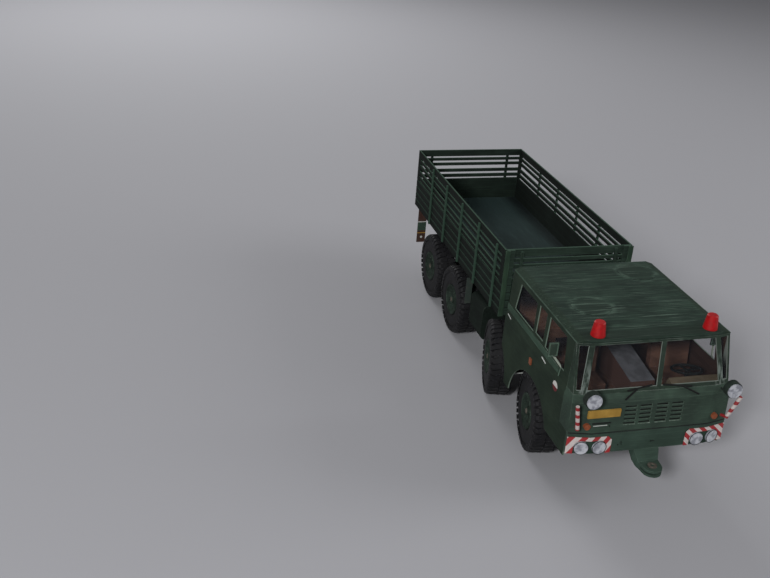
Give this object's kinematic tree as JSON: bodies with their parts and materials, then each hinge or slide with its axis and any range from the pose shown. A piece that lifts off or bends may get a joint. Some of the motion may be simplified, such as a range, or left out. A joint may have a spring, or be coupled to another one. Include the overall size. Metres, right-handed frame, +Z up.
{
  "type": "scale model of an eight-wheeled military cargo truck",
  "caption": "Card scale model of a military cargo truck: four-door cab over the engine, slatted open bed, rolling wheels, steered front axles.",
  "frame": {"origin": "on the ground under the middle of the model's overall box", "axes": "+X forwards along the truck, +Y to its left, +Z up"},
  "size_m": [0.2798, 0.0888, 0.0879],
  "materials": {
    "green_card": "card brushed with dark olive green poster paint, matt",
    "chassis_paint": "card and wire in dark green-black paint, matt",
    "floor_paint": "card brushed with grey-green paint, matt",
    "tyre_paint": "laminated card discs in dark grey paint, matt",
    "window_film": "clear film",
    "grey_card": "grey printed card",
    "beige_card": "beige printed card",
    "brown_card": "brown painted card",
    "black_paint": "wire in black paint",
    "white_card": "white card with red stripes",
    "lens": "glossy white lens",
    "red_plastic": "glossy red paint",
    "amber_plastic": "amber paint",
    "yellow_card": "plain yellow card"
  },
  "bodies": {
    "root": {"backbone_tube": "chassis_paint", "frame_rails": "chassis_paint", "cab_floor": "green_card", "cab_side_left": "green_card", "cab_side_right": "green_card", "cab_front": "green_card", "windscreen_frame": "green_card", "glazing": "window_film", "cab_roof": "green_card", "cab_rear_wall": "green_card", "engine_cover": "grey_card", "dashboard": "beige_card", "front_seats": "brown_card", "rear_bench": "brown_card", "steering_wheel": "black_paint", "bumper": "green_card", "hazard_panels": "white_card", "lamp_lenses": "lens", "spot_lamps": "green_card", "beacons": "red_plastic", "clearance_poles": "white_card", "mirrors": "green_card", "wipers": "black_paint", "number_plate": "yellow_card", "turn_lamps": "amber_plastic", "tow_hitch": "green_card", "bed_floor": "floor_paint", "bed_side_left": "green_card", "bed_side_right": "green_card", "headboard": "green_card", "tailgate": "green_card", "side_tanks": "green_card", "mud_flaps": "brown_card", "tail_lamps": "red_plastic", "axle_1": "chassis_paint", "axle_2": "chassis_paint", "axle_3": "chassis_paint", "axle_4": "chassis_paint"},
    "wheel_1_left": {"tyre_1_left": "tyre_paint", "hub_1_left": "green_card"},
    "steer_1_left": {"knuckle_1_left": "chassis_paint"},
    "wheel_1_right": {"tyre_1_right": "tyre_paint", "hub_1_right": "green_card"},
    "steer_1_right": {"knuckle_1_right": "chassis_paint"},
    "wheel_2_left": {"tyre_2_left": "tyre_paint", "hub_2_left": "green_card"},
    "steer_2_left": {"knuckle_2_left": "chassis_paint"},
    "wheel_2_right": {"tyre_2_right": "tyre_paint", "hub_2_right": "green_card"},
    "steer_2_right": {"knuckle_2_right": "chassis_paint"},
    "wheel_3_left": {"tyre_3_left": "tyre_paint", "hub_3_left": "green_card"},
    "wheel_3_right": {"tyre_3_right": "tyre_paint", "hub_3_right": "green_card"},
    "wheel_4_left": {"tyre_4_left": "tyre_paint", "hub_4_left": "green_card"},
    "wheel_4_right": {"tyre_4_right": "tyre_paint", "hub_4_right": "green_card"}
  },
  "joints": [
    {"name": "steer_1_left_turn", "type": "hinge", "parent": "root", "child": "steer_1_left", "pos_m": [0.0804, 0.024, 0.0202], "axis": [0, 0, 1], "range_deg": [-5, 23]},
    {"name": "wheel_1_left_roll", "type": "hinge", "parent": "steer_1_left", "child": "wheel_1_left", "pos_m": [0.0804, 0.024, 0.0202], "axis": [0.1564, 0.9877, 0], "continuous": true},
    {"name": "steer_1_right_turn", "type": "hinge", "parent": "root", "child": "steer_1_right", "pos_m": [0.0804, -0.024, 0.0202], "axis": [0, 0, 1], "range_deg": [-5, 23]},
    {"name": "wheel_1_right_roll", "type": "hinge", "parent": "steer_1_right", "child": "wheel_1_right", "pos_m": [0.0804, -0.024, 0.0202], "axis": [0.1564, 0.9877, 0], "continuous": true},
    {"name": "steer_2_left_turn", "type": "hinge", "parent": "root", "child": "steer_2_left", "pos_m": [0.0276, 0.0255, 0.0202], "axis": [0, 0, 1], "range_deg": [-3, 33]},
    {"name": "wheel_2_left_roll", "type": "hinge", "parent": "steer_2_left", "child": "wheel_2_left", "pos_m": [0.0276, 0.0255, 0.0202], "axis": [0.2588, 0.9659, 0], "continuous": true},
    {"name": "steer_2_right_turn", "type": "hinge", "parent": "root", "child": "steer_2_right", "pos_m": [0.0276, -0.0255, 0.0202], "axis": [0, 0, 1], "range_deg": [-3, 33]},
    {"name": "wheel_2_right_roll", "type": "hinge", "parent": "steer_2_right", "child": "wheel_2_right", "pos_m": [0.0276, -0.0255, 0.0202], "axis": [0.2588, 0.9659, 0], "continuous": true},
    {"name": "wheel_3_left_roll", "type": "hinge", "parent": "root", "child": "wheel_3_left", "pos_m": [-0.0443, 0.0318, 0.0202], "axis": [0, 1, 0], "continuous": true},
    {"name": "wheel_3_right_roll", "type": "hinge", "parent": "root", "child": "wheel_3_right", "pos_m": [-0.0443, -0.0318, 0.0202], "axis": [0, 1, 0], "continuous": true},
    {"name": "wheel_4_left_roll", "type": "hinge", "parent": "root", "child": "wheel_4_left", "pos_m": [-0.0923, 0.031, 0.0202], "axis": [0, 1, 0], "continuous": true},
    {"name": "wheel_4_right_roll", "type": "hinge", "parent": "root", "child": "wheel_4_right", "pos_m": [-0.0923, -0.031, 0.0202], "axis": [0, 1, 0], "continuous": true}
  ],
  "couplings": [
    {"joint": "steer_1_left_turn", "follows": "steer_1_right_turn", "ratio": 1},
    {"joint": "steer_2_left_turn", "follows": "steer_2_right_turn", "ratio": 1}
  ]
}
